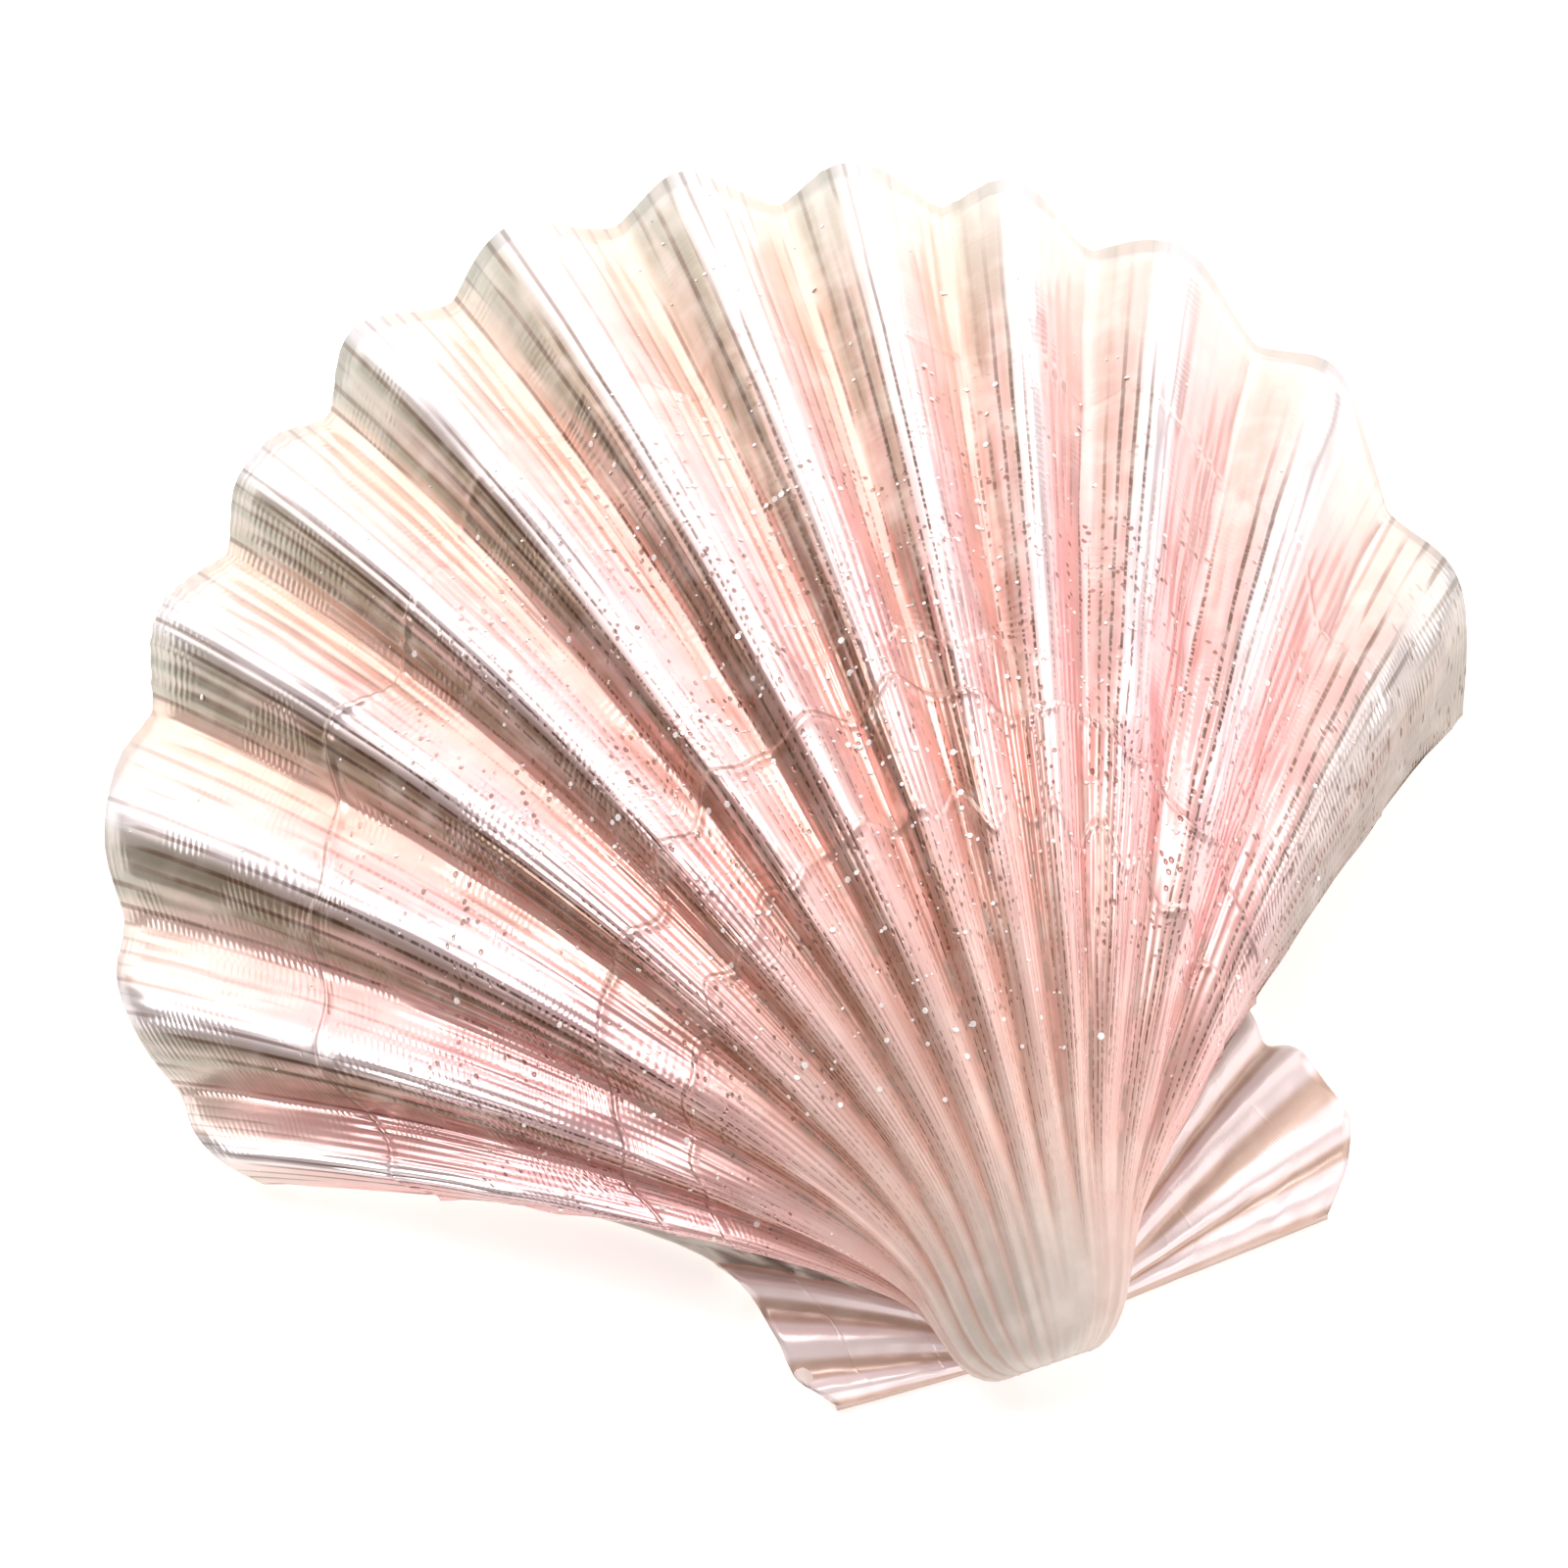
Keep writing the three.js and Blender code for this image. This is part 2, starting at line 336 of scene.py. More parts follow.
def grow(points, stage, relief, roll):
    """Scales and rolls the margin to each stage, and raises the relief along the normal."""
    angle = roll * np.log(1 / stage)
    c, s = np.cos(angle), np.sin(angle)
    x, y = points[:, 0] + 0 * stage, points[:, 1] + 0 * stage
    step = directions(points)
    along_margin = np.stack([step[:, 0] + 0 * stage, step[:, 1] * c, step[:, 1] * s], axis=-1)
    along_growth = np.stack([x, y * (c + roll * s), y * (s - roll * c)], axis=-1)
    normal = np.cross(along_margin, along_growth)
    normal /= np.linalg.norm(normal, axis=-1, keepdims=True)
    place = np.stack([x * stage, y * stage * c, y * stage * s], axis=-1)
    return place + normal * relief[..., None]


def beak_curl(stage):
    """Share of the beak's reach over the hinge line, most near its tip."""
    tuck = 1 - BEAK_TUCK * np.exp(-((stage / BEAK_TIP_STAGE) ** 2))
    return tuck / (1 + (stage / BEAK_STAGE) ** 4)


def outer_surface():
    place = grow(columns["plan"], outer_stage, outer_relief(base_stage, outer_stage), ROLL)
    curl = beak_curl(outer_stage) * columns["beak"]
    place[..., 0] = place[..., 0] * (1 + BEAK_SPREAD * curl) + BEAK_LEAN * curl
    place[..., 1] += columns["hinge"] * (1 - outer_stage) * (1 - columns["beak"])
    place[..., 1] -= BEAK_REACH * curl
    place[..., 2] += BEAK_LIFT * curl + EDGE_THICKNESS
    return place


outer = outer_surface()
print("outside spans in mm:", np.round(np.ptp(outer.reshape(-1, 3), axis=0), 1))

# %% [markdown]
# ## The inside and the hinge
#
# The inside is the same growth about a centre a few millimetres in from the hinge line, and
# it rolls up a little less, so the wall is thin at the margin and thick at the hinge. The
# ribs show on it only near the margin, because later layers fill them in. Between the two
# centres lies the flat hinge ledge, with the pit that held the springy ligament.

# %% Inner surface
INNER_ROWS = 12
INNER_RIB_SHARE = 0.85
RIM_ROWS = 3
SCAR_STAGE, SCAR_RIB = 0.42, 7.6      # middle of the round muscle scar
SCAR_STAGES, SCAR_RIBS = 0.16, 2.6    # its half width
SCAR_DEPTH, SCAR_EDGE = 0.25, 14      # mm, and how sharp its edge is
RIM_BULGE = 0.45        # mm, by which the rim rounds outwards


def inner_margin():
    """The margin's inner edge, about the inner growth centre."""
    points = columns["plan"].copy()
    step = directions(points)
    inset = points - RIM_INSET * np.stack([-step[:, 1], step[:, 0]], axis=1)
    ear = columns["ear"] > 0
    is_left = np.arange(column_count) < column_count / 2
    for side in (ear & is_left, ear & ~is_left):
        low, high = points[side, 1].min(), points[side, 1].max()
        share = (points[side, 1] - low) / (high - low)
        inset[side, 1] = LEDGE_Y + share * (high - LEDGE_Y)
    return inset - [0, LEDGE_Y]


def inner_surface():
    stages = np.linspace(1, BEAK_END**ROW_CROWDING, INNER_ROWS) ** (1 / ROW_CROWDING)
    stage = np.repeat(stages[:, None], column_count, axis=1)
    main = RIB_HEIGHT * columns["crest"] * INNER_RIB_SHARE * stage**2
    folds = EAR_FOLD_HEIGHT * columns["fold"] * INNER_RIB_SHARE * stage**2
    from_scar = np.hypot((stage - SCAR_STAGE) / SCAR_STAGES, (columns["rib"] - SCAR_RIB) / SCAR_RIBS)
    sunk = SCAR_DEPTH / (1 + np.exp((from_scar - 1) * SCAR_EDGE))
    place = grow(inner_margin(), stage, main + folds + sunk, INNER_ROLL)
    place[..., 1] += LEDGE_Y
    return place, stages


inner, inner_stages = inner_surface()


def rim_surface():
    """Rows that round the edge between the outer and the inner margin."""
    step = directions(columns["plan"])
    outward = np.stack([-step[:, 1], step[:, 0]], axis=1)
    rows = []
    for number in range(1, RIM_ROWS + 1):
        share = number / (RIM_ROWS + 1)
        row = outer[-1] * (1 - share) + inner[0] * share
        row[:, :2] += outward * RIM_BULGE * math.sin(math.pi * share)
        row[:, 2] = np.maximum(row[:, 2], 0)
        rows.append(row)
    return np.array(rows)


rim = rim_surface()
print("rows from beak to beak:", len(outer) + len(rim) + len(inner))

# %% [markdown]
# ## One sheet that closes on itself
#
# Outside, rim and inside are one strip of rows, so the valve is one grid folded over at the
# margin. Each row end that meets at a point is merged there. The open edge left at the hinge
# is drawn down to the resting plane and bridged to the inner edge, which makes the flat
# hinge ledge. The pit in its middle held the springy ligament.

# %% Values that every point carries for the material
def end_cap(row):
    """The middle of a row's ends, once for each column. Merging turns them into one point."""
    return np.tile((row[0] + row[-1]) / 2, (1, column_count, 1))


def whole_strip(outside, edge, within):
    """One value for each row and column, from the beak outside to the beak inside."""
    parts = [outside[:1], outside, np.repeat(edge, RIM_ROWS, axis=0), within, within[-1:]]
    return np.concatenate(parts)


rows = np.concatenate([end_cap(outer[0]), outer, rim, inner, end_cap(inner[-1])])
row_count = len(rows)
row_of_ones = np.ones((1, column_count))
level_stage = np.repeat(base_stage[:, None], column_count, axis=1)
inner_stage = np.repeat(inner_stages[:, None], column_count, axis=1)
phase = np.clip(columns["rib"], 0, RIB_COUNT) % 1
lean = np.sin(2 * np.pi * phase**CREST_SKEW)
carried = {
    "rib": np.tile(columns["rib"], (row_count, 1)),
    "stage": whole_strip(level_stage, row_of_ones, inner_stage),
    "crest": np.tile(columns["crest"], (row_count, 1)),
    "lean": np.tile(lean, (row_count, 1)),
    "fine": np.tile(fine_count(columns["rib"]), (row_count, 1)),
    "ear": np.tile(columns["ear"], (row_count, 1)),
    "fold": np.tile(columns["fold"], (row_count, 1)),
    "wear": whole_strip(wear(columns["rib"], level_stage), 0 * row_of_ones, 0 * inner_stage),
    "inside": whole_strip(0 * level_stage, 0.5 * row_of_ones, 0 * inner_stage + 1),
}
print("grid of", row_count, "rows and", column_count, "columns")

# %% Fold the grid into a valve
MERGE_MM = 0.0001
PIT_HALF_WIDTH, PIT_DEPTH = 4.5, 1.3        # mm
LEDGE_CUTS = 4          # rows of points across the ledge, which the pit needs


def folded_sheet():
    """The grid with every point moved to its place and carrying its values."""
    sheet = bmesh.new()
    bmesh.ops.create_grid(sheet, x_segments=column_count - 1, y_segments=row_count - 1, size=1)
    assert len(sheet.verts) == row_count * column_count
    layers = {name: sheet.verts.layers.float.new(name) for name in carried}
    for vert in sheet.verts:
        row = round((vert.co.y + 1) / 2 * (row_count - 1))
        column = round((vert.co.x + 1) / 2 * (column_count - 1))
        vert.co = rows[row, column]
        for name, layer in layers.items():
            vert[layer] = carried[name][row, column]
    bmesh.ops.remove_doubles(sheet, verts=sheet.verts, dist=MERGE_MM)
    return sheet


def close_at_hinge(sheet):
    """Draws the open outer edge down to the resting plane and bridges it to the inner edge."""
    inside = sheet.verts.layers.float["inside"]
    open_edges = [edge for edge in sheet.edges if edge.is_boundary]
    outer_edge = [edge for edge in open_edges if max(v[inside] for v in edge.verts) == 0]
    inner_edge = [edge for edge in open_edges if min(v[inside] for v in edge.verts) == 1]
    skirt = bmesh.ops.extrude_edge_only(sheet, edges=outer_edge)["geom"]
    foot = [item for item in skirt if isinstance(item, bmesh.types.BMVert)]
    for vert in foot:
        vert.co.z = 0
    foot_set = set(foot)
    foot_edge = [edge for edge in sheet.edges if edge.is_boundary and set(edge.verts) <= foot_set]
    ledge = bmesh.ops.bridge_loops(sheet, edges=foot_edge + inner_edge)
    rims = set(foot_edge + inner_edge)
    across = [edge for edge in ledge["edges"] if edge not in rims]
    left_open = [edge for edge in sheet.edges if edge.is_boundary]
    bmesh.ops.holes_fill(sheet, edges=left_open, sides=0)
    print("hinge edges:", len(foot_edge), "outer and", len(inner_edge), "inner")
    return across


def raise_pit(sheet, across):
    """Cuts the ledge across its width and sinks the pit into it."""
    cut = bmesh.ops.subdivide_edges(sheet, edges=across, cuts=LEDGE_CUTS, use_grid_fill=True)
    for vert in {item for item in cut["geom_inner"] if isinstance(item, bmesh.types.BMVert)}:
        depth = (vert.co.y - RIGHT_HINGE_Y) / (LEDGE_Y - RIGHT_HINGE_Y)
        if 0 < depth < 1 and abs(vert.co.x) < PIT_HALF_WIDTH:
            across_pit = math.cos(math.pi / 2 * vert.co.x / PIT_HALF_WIDTH) ** 2
            vert.co.z = PIT_DEPTH * across_pit * math.sin(math.pi * depth)


sheet = folded_sheet()
ledge_edges = close_at_hinge(sheet)
raise_pit(sheet, ledge_edges)
bmesh.ops.triangulate(sheet, faces=[face for face in sheet.faces if len(face.verts) > 4])
bmesh.ops.recalc_face_normals(sheet, faces=sheet.faces)
open_count = sum(not edge.is_manifold for edge in sheet.edges)
volume_cm3 = sheet.calc_volume(signed=True) / 1000
print("open edges:", open_count, "volume in cm3:", round(volume_cm3, 1))

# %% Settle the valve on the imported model's place
low = np.min([vert.co for vert in sheet.verts], axis=0)
high = np.max([vert.co for vert in sheet.verts], axis=0)
middle = (np.array(cad_box[0]) + np.array(cad_box[1])) / 2 / MM
settle = Vector((*(middle - (low + high) / 2)[:2], cad_box[0][2] / MM - low[2]))
in_place = Matrix.Scale(MM, 4) @ Matrix.Translation(settle)
bmesh.ops.transform(sheet, matrix=in_place, verts=sheet.verts)
for face in sheet.faces:
    face.smooth = True
valve_mesh = bpy.data.meshes.new("valve")
sheet.to_mesh(valve_mesh)
sheet.free()
valve = bpy.data.objects.new("pearl_valve", valve_mesh)
bpy.context.scene.collection.objects.link(valve)
print("growth frame moved by mm:", [round(c, 2) for c in settle])
print("triangles:", sum(len(face.vertices) - 2 for face in valve_mesh.polygons))

# %% [markdown]
# ## Pearl lacquer over shell
#
# The real valve was dipped in a pearl lacquer. Its tiny flakes lie flat, so it reflects like
# a soft pink metal under a clear gloss. Colour follows the way the shell grew: it changes
# from the beak to the margin and from groove to crest. So the material reads the stage and
# the place on its rib that each point carries.

# %% Small helpers for colours and nodes
def colour(hex_code):
    """A screen colour such as #F5C5C0 as linear light."""
    parts = [int(hex_code[place:place + 2], 16) / 255 for place in (1, 3, 5)]
    linear = [p / 12.92 if p <= 0.04045 else ((p + 0.055) / 1.055) ** 2.4 for p in parts]
    return (*linear, 1)


def new_material(name):
    """An empty material, and the tree that its nodes go into."""
    material = bpy.data.materials.new(name)
    material.use_nodes = True
    material.node_tree.nodes.clear()
    return material, material.node_tree


def put(tree, kind, inputs, out=0, ramp=None, **settings):
    """Adds a node, sets or links its inputs, and gives back one of its outputs."""
    node = tree.nodes.new("ShaderNode" + kind)
    for name, value in settings.items():
        setattr(node, name, value)
    if ramp:
        stops = node.color_ramp.elements
        while len(stops) < len(ramp):
            stops.new(0)
        for stop, (place, shade) in zip(stops, ramp):
            stop.position = place
        for stop, (place, shade) in zip(stops, ramp):
            stop.color = colour(shade)
    for name, value in inputs.items():
        if isinstance(value, bpy.types.NodeSocket):
            tree.links.new(value, node.inputs[name])
        else:
            node.inputs[name].default_value = value
    return node.outputs[out] if node.outputs else node


# %% [markdown]
# ## Zones and layers
#
# The lacquer is painted in layers: first the main colour, then the grooves, the crests, the
# dark flanks and so on. Some layers are painted light and shade: the highlight on the crests,
# the dark reflection on the left flanks, the shade between the fine ribs and the ring shadows.
# Each layer covers only its own zone.
# A zone is a product of soft steps, such as "near a crest" times "near the margin". Where
# one of them is 0, the layer under it shows.

# %% Zones and layers
def zone(tree, *factors):
    """Multiplies numbers, values and soft steps.

    (value, low, high) rises softly from 0 at low to 1 at high, or falls if low is the
    larger. Two more numbers take the place of 0 and 1.
    """
    product = None
    for factor in factors:
        if isinstance(factor, tuple):
            value, low, high, *ends = factor
            start, end = ends or (0, 1)
            step = {0: value, 1: low, 2: high, 3: start, 4: end}
            factor = put(tree, "MapRange", step, interpolation_type="SMOOTHSTEP")
        if product is None:
            product = factor
        else:
            product = put(tree, "Math", {0: product, 1: factor}, operation="MULTIPLY")
    return product


def layer(tree, under, shade, *factors):
    """Lays a colour over what is under it, in the zone that the factors give."""
    share = zone(tree, *factors)
    return put(tree, "Mix", {0: share, 6: under, 7: shade}, out=2, data_type="RGBA")


# %% What the lacquer reads
# Pearl lacquer sprayed on shell: soft metal-like flakes that lie flat under a clear coat.
lacquer_material, lacquer = new_material("pearl lacquer sprayed on scallop shell")
sockets = {name: put(lacquer, "Attribute", {}, out=2, attribute_name=name) for name in carried}
rib, stage, fine, crest = (sockets[name] for name in ("rib", "stage", "fine", "crest"))
lean_side, ear, fold = (sockets[name] for name in ("lean", "ear", "fold"))
on_disc = put(lacquer, "Math", {0: 1, 1: ear}, operation="SUBTRACT")
unworn = put(lacquer, "Math", {0: 1, 1: sockets["wear"]}, operation="SUBTRACT")
outside = put(lacquer, "Math", {0: 1, 1: sockets["inside"]}, operation="SUBTRACT")
print("values read from the mesh:", ", ".join(sockets))

# %% Noises that break up the bands
PATCH_SIZE = 22.22          # mm, of the patches that shift a band's colour
MOTTLE_SIZE = 3.846         # mm, of the fine mottle
PIT_PATCH_SIZE = 9.091      # mm, of the patches with pits
THREAD_PATCH_SIZE = 11.11   # mm, of the patches with threads
BAND_SHIFT = 0.1            # of a stage, the most that a patch moves a band
STREAK_RUNS = 7             # streaks from the beak to the margin
SWAY_RUNS = 9               # sways of the threads from the beak to the margin

spot = put(lacquer, "TexCoord", {}, out=3)
patches, mottle = (
    put(lacquer, "TexNoise", {"Vector": spot, "Scale": 1 / (size * MM), "Detail": 3})
    for size in (PATCH_SIZE, MOTTLE_SIZE))
pit_patches, thread_patches = (
    put(lacquer, "TexNoise", {"Vector": spot, "Scale": 1 / (size * MM), "Detail": 2})
    for size in (PIT_PATCH_SIZE, THREAD_PATCH_SIZE))

shift = put(lacquer, "Math", {0: patches, 1: 0.5}, operation="SUBTRACT")
shift = zone(lacquer, shift, BAND_SHIFT, (stage, 0.1, 0.4))
shifted_stage = put(lacquer, "Math", {0: stage, 1: shift}, operation="ADD")

# Long streaks follow the ribs and differ from one fine rib to the next.
runs = put(lacquer, "Math", {0: stage, 1: STREAK_RUNS}, operation="MULTIPLY")
along_rib = put(lacquer, "CombineXYZ", {0: fine, 1: runs})
streaks = put(lacquer, "TexNoise", {"Vector": along_rib, "Scale": 0.9, "Detail": 1})

# %% Main colours, from the beak to the margin
COLOURS_BY_STAGE = {
    "rib": [(0.0, "#BDB6AF"), (0.09, "#CBC1B9"), (0.18, "#F1D0C6"), (0.42, "#F6C4C3"),
            (0.62, "#F6C2C4"), (0.77, "#F5C0BC"), (0.86, "#F3D1CB"), (1.0, "#F2E5DE")],
    "groove": [(0.0, "#A89E94"), (0.15, "#E2B5A6"), (0.42, "#F4B7AD"), (0.68, "#F8C7BD"),
               (0.85, "#F8D0C0"), (1.0, "#F9E1D1")],
    "outer rib": [(0.0, "#BDB6AD"), (0.16, "#ECC5BD"), (0.5, "#F8BDC1"), (0.85, "#F6CACA"),
                  (1.0, "#F6E4DE")],
    # The left flank's colours are a painted dark reflection.
    "painted dark reflection on left flank": [(0.0, "#A2968B"), (0.28, "#A87960"), (0.55, "#8A6A56"), (0.85, "#958A72"),
                   (1.0, "#B2B3A5")],
}
banded = {name: put(lacquer, "ValToRGB", {0: shifted_stage}, ramp=stops)
          for name, stops in COLOURS_BY_STAGE.items()}
tone = layer(lacquer, banded["rib"], banded["groove"], (crest, 0.62, 0.1), on_disc, unworn)

# The outer ribs are pink where the middle ones are peach.
left_ribs, right_ribs = zone(lacquer, (rib, 3.2, 1.5)), zone(lacquer, (rib, 8.5, 10.5))
outer_ribs = put(lacquer, "Math", {0: left_ribs, 1: right_ribs}, operation="ADD")
tone = layer(lacquer, tone, banded["outer rib"], outer_ribs, 0.75)

# The crests are silver-white, most towards the margin: a lighter lacquer with a painted highlight
# over it.
tone = layer(lacquer, tone, colour("#F1F0F6"), (crest, 0.78, 0.99), (stage, 0.3, 0.75), 0.75)

# Painted dark reflection: the left flank of each rib is made olive brown, most on the shell's left
# side, which faces the dim part of the room.
streaked = zone(lacquer, (streaks, 0.35, 0.6, 0.6, 1.05))
streaked = put(lacquer, "Math", {0: streaked, 1: 1}, operation="MINIMUM")
tone = layer(
    lacquer, tone, banded["painted dark reflection on left flank"],
    (lean_side, 0.2, 0.85), unworn, (rib, 12.5, 6.5, 0.32, 0.92), (stage, 0.05, 0.34),
    streaked, on_disc, (rib, 0.2, 1.4, 0.3, 1))
print("main colours:", ", ".join(banded))

# %% Painted shade: thin broken lines between the fine ribs
THREAD_PITCH = 1.1      # mm between the concentric threads
GROWTH_LENGTH = 162     # mm of growth line from the beak to the margin
THREAD_SWAY = 3.5       # threads, the most that a thread wanders

sway_runs = put(lacquer, "Math", {0: stage, 1: SWAY_RUNS}, operation="MULTIPLY")
sway_place = put(lacquer, "CombineXYZ", {0: rib, 1: sway_runs})
sway = put(lacquer, "TexNoise", {"Vector": sway_place, "Scale": 1.3, "Detail": 2})
even_threads = put(
    lacquer, "Math", {0: stage, 1: GROWTH_LENGTH / THREAD_PITCH}, operation="MULTIPLY")
threads = put(
    lacquer, "Math", {0: sway, 1: THREAD_SWAY, 2: even_threads}, operation="MULTIPLY_ADD")

fine_turn = put(lacquer, "Math", {0: fine, 1: 2 * math.pi}, operation="MULTIPLY")
fine_crest = put(lacquer, "Math", {0: fine_turn}, operation="COSINE")
valley = zone(lacquer, (fine_crest, -0.4, -0.95))

# Dashes a thread or two long. Towards the margin the lines are whole.
bead_column = put(lacquer, "Math", {0: fine, 1: 0.9}, operation="MULTIPLY")
bead_place = put(lacquer, "CombineXYZ", {0: bead_column, 1: threads})
beads = put(lacquer, "TexNoise", {"Vector": bead_place, "Scale": 1.5, "Detail": 0})
dashes = zone(lacquer, (beads, 0.42, 0.56, 0, 0.9))
whole = zone(lacquer, (stage, 0.55, 0.85, 0.15, 1))
broken = put(lacquer, "Math", {0: dashes, 1: whole}, operation="ADD", use_clamp=True)

# The right ribs are nearly free of lines at the margin, but for the last rib's side.
bare = zone(lacquer, (rib, 7.5, 9.5), (stage, 0.66, 0.85), (rib, 12.3, 11.7), 0.85)
lined = put(lacquer, "Math", {0: 1, 1: bare}, operation="SUBTRACT")
# Dark brown painted shade in the valleys between the fine ribs, strongest where a rib leans left.
tone = layer(
    lacquer, tone, colour("#7A5747"),
    valley, (streaks, 0.43, 0.56), (stage, 0.08, 0.2), on_disc, broken,
    (lean_side, -0.5, 0.5, 0.55, 1), (stage, 0.6, 0.95, 1, 0.7), lined, 0.95)

# The darkest painted shade lines run where the left flank meets the crest.
tone = layer(
    lacquer, tone, colour("#5C4438"),
    (lean_side, 0, 0.3), (crest, 0.45, 0.65), on_disc, (stage, 0.22, 0.36),
    (stage, 0.95, 0.75), valley, broken, 0.85)
print("threads from beak to margin:", round(GROWTH_LENGTH / THREAD_PITCH))

# %% Dark groove bottoms, grey sides and painted ring shadows
# The bottoms of the grooves are darker brown from near the beak to the middle of the shell.
tone = layer(
    lacquer, tone, colour("#86705F"),
    (crest, 0.16, 0.02), (stage, 0.62, 0.3), on_disc, unworn, (mottle, 0.36, 0.6),
    (stage, 0.02, 0.14), 0.6)

# Both sides of the disc are silver grey. On the left it is the shell's colour; on the right it is
# painted shade where the flank turns away from the light.
left_end, right_end = zone(lacquer, (rib, -0.1, -0.6)), zone(lacquer, (rib, 12.05, 12.75))
sides = put(lacquer, "Math", {0: left_end, 1: right_end}, operation="ADD")
tone = layer(lacquer, tone, colour("#A5A198"), sides, (stage, 0.3, 0.6), on_disc, 0.85)

# A growth ring's shadow is painted as a thin dark line just past its lip, up to the rib given with
# it.
RING_SHADOW_LINES = [(0.77, 4.8), (0.465, 9.5), (0.38, 6)]
for ring, last_rib in RING_SHADOW_LINES:
    band = {0: stage, 1: ring + RING_ROW_GAP, 2: RING_ROW_GAP * 0.7}
    line = put(lacquer, "Math", band, operation="COMPARE")
    tone = layer(
        lacquer, tone, colour("#8C6A5A"),
        line, (rib, last_rib, last_rib - 0.8), (mottle, 0.3, 0.5), on_disc, 0.6)
print("lines at growth rings:", len(RING_SHADOW_LINES))

# %% Pits, ears and the bare inside
# Rows of small brown pits lie between the fine ribs, in patches and along the right side.
pit_column = put(lacquer, "Math", {0: fine, 1: 0.3}, operation="ADD")
pit_row = put(lacquer, "Math", {0: threads, 1: 0.8}, operation="MULTIPLY")
pit_place = put(lacquer, "CombineXYZ", {0: pit_column, 1: pit_row})
from_pit = put(lacquer, "TexVoronoi", {"Vector": pit_place, "Scale": 1, "Randomness": 0.75})
pitted = zone(lacquer, (pit_patches, 0.46, 0.58), (stage, 0.85, 0.65))
right_side = zone(lacquer, (rib, 12.1, 12.6), (stage, 0.3, 0.5), on_disc)
pitted = put(lacquer, "Math", {0: pitted, 1: right_side}, operation="MAXIMUM")
pits = zone(lacquer, (from_pit, 0.3, 0.14), pitted, (stage, 0.16, 0.3), on_disc)
tone = layer(lacquer, tone, colour("#7C5747"), pits, 0.8)

# The ears are lilac pink, brown-grey between their folds.
ear_tone = layer(lacquer, colour("#D2B5A7"), colour("#FFF2F5"), (fold, 0.1, 0.5))
tone = layer(lacquer, tone, ear_tone, ear)
tone = layer(lacquer, tone, colour("#FFF6F0"), (mottle, 0.4, 0.75), 0.2)
tone = layer(lacquer, tone, colour("#F1E7DA"), sockets["inside"])

# %% Relief that is too fine for the mesh
# Threads about 0.05 mm high, a grain of spray, and the pits.
BUMP_HEIGHT = 0.09      # mm, of a relief of 1
THREAD_HEIGHT, PIT_RELIEF = 0.36, 1.3
GRAIN_HEIGHT, BEAK_GRAIN_HEIGHT = 0.8, 3.3

thread_turn = put(lacquer, "Math", {0: threads, 1: 2 * math.pi}, operation="MULTIPLY")
thread_wave = put(lacquer, "Math", {0: thread_turn}, operation="SINE")
threaded = zone(lacquer, (thread_patches, 0.42, 0.6), (stage, 0.25, 0.5),
                (rib, 7.5, 3, 0.3, 1), (rib, -0.5, 1.4))
threaded = put(lacquer, "Math", {0: threaded, 1: right_side}, operation="MAXIMUM")
thread_relief = zone(lacquer, thread_wave, threaded, THREAD_HEIGHT)
grain = zone(lacquer, mottle, (stage, 0.3, 0.1, GRAIN_HEIGHT, BEAK_GRAIN_HEIGHT))
relief = put(lacquer, "Math", {0: thread_relief, 1: grain}, operation="ADD")
relief = put(
    lacquer, "Math", {0: pits, 1: -PIT_RELIEF, 2: relief}, operation="MULTIPLY_ADD")
relief = zone(lacquer, relief, outside)
bump = put(
    lacquer, "Bump", {"Height": relief, "Distance": BUMP_HEIGHT * MM, "Strength": 0.8})

# %% The lacquer's shine
# The beak is worn: the lacquer there is thin, dull and less like metal. The ears have less
# of it than the disc, and the inside has none.
METAL = 0.6
EAR_LOSS = 0.55

lacquered = zone(lacquer, (stage, 0.06, 0.45, 0.25, 1))
ear_share = put(lacquer, "Math", {0: ear, 1: -EAR_LOSS, 2: 1}, operation="MULTIPLY_ADD")
metal = zone(lacquer, outside, lacquered, METAL, ear_share)
roughness = put(lacquer, "Math", {0: lacquered, 1: -0.2, 2: 0.5}, operation="MULTIPLY_ADD")
surface = put(lacquer, "BsdfPrincipled", {
    "Base Color": tone, "Metallic": metal, "Roughness": roughness, "IOR": 1.5,
    "Coat Weight": 0.25, "Coat Roughness": 0.15, "Normal": bump,
})
put(lacquer, "OutputMaterial", {"Surface": surface})

valve_mesh.materials.append(lacquer_material)
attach(valve, "root")
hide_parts("scallop_valve")
print("lacquer on", valve.name, "with nodes:", len(lacquer.nodes))

# %% [markdown]
# ## Glitter
#
# Flakes of glitter were dropped into the wet lacquer, mostly over the middle of the dome.
# Each is a thin hexagon, cut from foil, lying nearly flat on the surface. Real flakes are
# small closed solids here, all joined in one mesh, because each one catches the light alone.

# %% Glitter flakes
FLAKES = 800
FLAKE_RADIUS = (0.13, 0.42)      # mm, few of them large
FLAKE_HALF_HEIGHT = 0.06         # mm
FLAKE_TILT = 0.22                # radians, about
FLAKE_TAPER = 0.9                # width of the top against the foot
FLAKE_STAGE, FLAKE_RIB = (0.52, 0.17), (7, 3.2)             # middle and spread
FLAKE_STAGES, FLAKE_RIBS = (0.2, 0.97), (0.2, 12.8)         # none lie beyond these


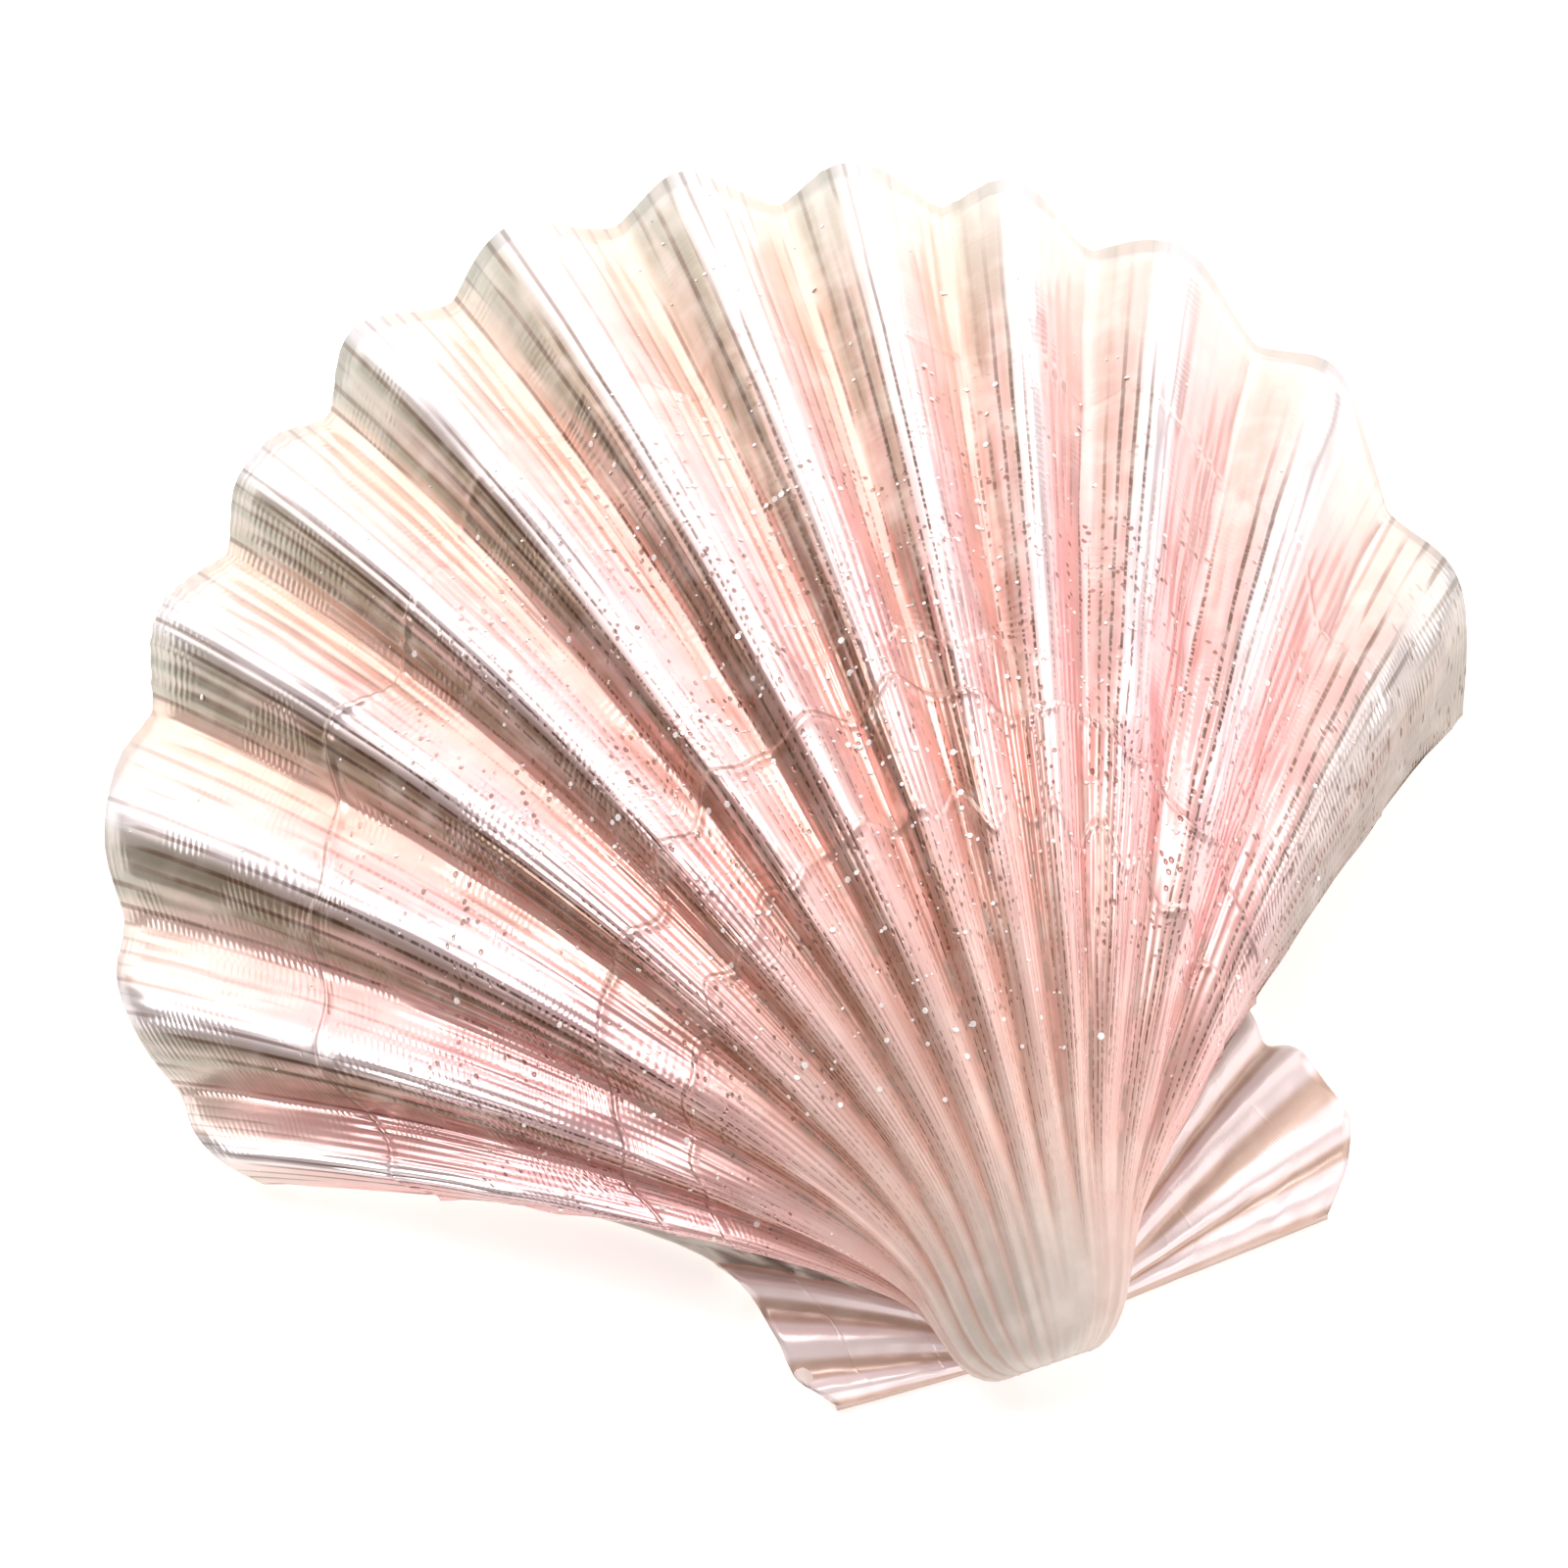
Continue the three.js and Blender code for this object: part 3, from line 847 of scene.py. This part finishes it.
def flake_places():
    """Rows and columns on the outside where flakes lie, and the way each faces."""
    stages = rng.normal(*FLAKE_STAGE, FLAKES * 3)
    ribs = rng.normal(*FLAKE_RIB, FLAKES * 3)
    keep = (stages > FLAKE_STAGES[0]) & (stages < FLAKE_STAGES[1])
    keep &= (ribs > FLAKE_RIBS[0]) & (ribs < FLAKE_RIBS[1])
    row = np.searchsorted(base_stage, stages[keep][:FLAKES])
    row = np.clip(row, 1, len(base_stage) - 2)
    column = np.searchsorted(columns["rib"], ribs[keep][:FLAKES])
    point = outer[row, column]
    along = outer[row + 1, column] - outer[row - 1, column]
    sideways = outer[row, column + 2] - outer[row, column - 2]
    up = np.cross(sideways, along)
    up *= np.sign(up[:, 2:])
    return point, up / np.linalg.norm(up, axis=1, keepdims=True)


def make_flakes():
    """All flakes as small closed hexagons in one mesh."""
    flakes = bmesh.new()
    for point, up in zip(*flake_places()):
        tilted = Vector(up) + Vector(rng.normal(0, FLAKE_TILT, 3))
        turn = tilted.to_track_quat("Z", "Y").to_matrix().to_4x4()
        seat = Vector(point) + settle + Vector(up) * FLAKE_HALF_HEIGHT
        radius = FLAKE_RADIUS[0] + (FLAKE_RADIUS[1] - FLAKE_RADIUS[0]) * rng.uniform() ** 3
        bmesh.ops.create_cone(
            flakes, cap_ends=True, segments=6, depth=FLAKE_HALF_HEIGHT * 2,
            radius1=radius, radius2=radius * FLAKE_TAPER,
            matrix=Matrix.Scale(MM, 4) @ Matrix.Translation(seat) @ turn)
    mesh = bpy.data.meshes.new("flakes")
    flakes.to_mesh(mesh)
    flakes.free()
    return mesh


flake_mesh = make_flakes()
glitter = bpy.data.objects.new("glitter_flakes", flake_mesh)
bpy.context.scene.collection.objects.link(glitter)


# %% Foil
# Glitter cut from coated foil: white and smooth under a clear film, so it shows as bright dots.
foil_material, foil = new_material("silver glitter cut from coated foil")
foil_surface = put(foil, "BsdfPrincipled", {
    "Base Color": colour("#FFFFFF"), "Metallic": 0.15, "Roughness": 0.35, "IOR": 1.5,
})
put(foil, "OutputMaterial", {"Surface": foil_surface})
flake_mesh.materials.append(foil_material)
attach(glitter, "root")
print("flakes:", FLAKES, "faces:", len(flake_mesh.polygons))

# %% [markdown]
# ## Studio
#
# The shell lies on a sheet of white acrylic that is lit from below. Two softboxes and a
# narrow strip behind and above it make the crests bright. Three weak lights fill from the
# right, the front and the low left. Most of the left side stays dim, so the left flanks of
# the ribs go dark, as pearl does when it has nothing bright to reflect; their colour holds a
# painted dark reflection as well.

# %% Table
TABLE_HALF_WIDTH = 6    # m, far past the view

# Opal acrylic lit from below: an even white with only a faint shadow on it.
table_material, acrylic = new_material("opal acrylic sheet lit from below")
table_surface = put(acrylic, "BsdfPrincipled", {
    "Base Color": colour("#F4F4F3"), "Roughness": 0.6, "IOR": 1.49,
    "Emission Color": colour("#FFFFFF"), "Emission Strength": 0.5,
})
put(acrylic, "OutputMaterial", {"Surface": table_surface})

table_mesh = bpy.data.meshes.new("table")
plane = bmesh.new()
bmesh.ops.create_grid(plane, x_segments=1, y_segments=1, size=TABLE_HALF_WIDTH)
plane.to_mesh(table_mesh)
plane.free()
table_mesh.materials.append(table_material)
table = bpy.data.objects.new("table", table_mesh)
bpy.context.scene.collection.objects.link(table)
print("table half width in m:", TABLE_HALF_WIDTH)

# %% Lights
AIM = Vector((0, 0, 0.01))


def softbox(name, direction, distance, size, watts, shade):
    """A rectangular area light that faces the shell."""
    light = bpy.data.lights.new(name, "AREA")
    light.shape = "RECTANGLE"
    light.size, light.size_y = size
    light.energy = watts
    light.color = colour(shade)[:3]
    lamp = bpy.data.objects.new(name, light)
    bpy.context.scene.collection.objects.link(lamp)
    lamp.location = AIM + Vector(direction).normalized() * distance
    lamp.rotation_euler = (lamp.location - AIM).to_track_quat("Z", "Y").to_euler()
    return lamp


softbox("key softbox", (0.12, 0.6, 0.75), 1.3, (2.6, 1.7), 16, "#FFFDFA")
softbox("crest light", (-0.12, 0.45, 0.85), 1.3, (1.3, 0.35), 6.5, "#FBFCFF")
softbox("back softbox", (0.1, 1.0, 0.2), 1.3, (2.6, 0.7), 8, "#FFFDFA")
softbox("right fill", (0.95, -0.12, 0.28), 0.9, (0.8, 0.5), 2, "#FFF6F2")
softbox("front fill", (0.3, -0.85, 0.45), 1.1, (1.1, 0.7), 4.6, "#FFF8F6")
softbox("low left fill", (-0.75, -0.6, 0.12), 1.1, (1.2, 0.4), 0.7, "#FFF8F6")

room = bpy.data.worlds.new("dim warm room")
room.use_nodes = True
background = room.node_tree.nodes["Background"]
background.inputs["Color"].default_value = colour("#8E8078")
background.inputs["Strength"].default_value = 0.9
bpy.context.scene.world = room
print("lights:", len(bpy.data.lights))

# %% Camera
# Both places are in mm in the growth frame, like the margin.
CAMERA_AT = (Vector((-101.56, -279.05, 699.6)) + settle) * MM
CAMERA_AIM = (Vector((-6.51, 62.8, 10)) + settle) * MM
CAMERA_ROLL = math.radians(-4.03)
CAMERA_LENS = 167.4     # mm, on a sensor 36 mm wide

camera = bpy.data.objects.new("camera", bpy.data.cameras.new("camera"))
bpy.context.scene.collection.objects.link(camera)
camera.data.lens = CAMERA_LENS
camera.data.sensor_width = 36
camera.data.clip_start, camera.data.clip_end = 0.05, 20
looking = (CAMERA_AT - CAMERA_AIM).to_track_quat("Z", "Y").to_matrix().to_4x4()
rolled = Matrix.Rotation(CAMERA_ROLL, 4, "Z")
camera.matrix_world = Matrix.Translation(CAMERA_AT) @ looking @ rolled
bpy.context.scene.camera = camera
bpy.context.scene.view_settings.view_transform = "Standard"
print("camera distance in mm:", round((CAMERA_AT - CAMERA_AIM).length / MM))
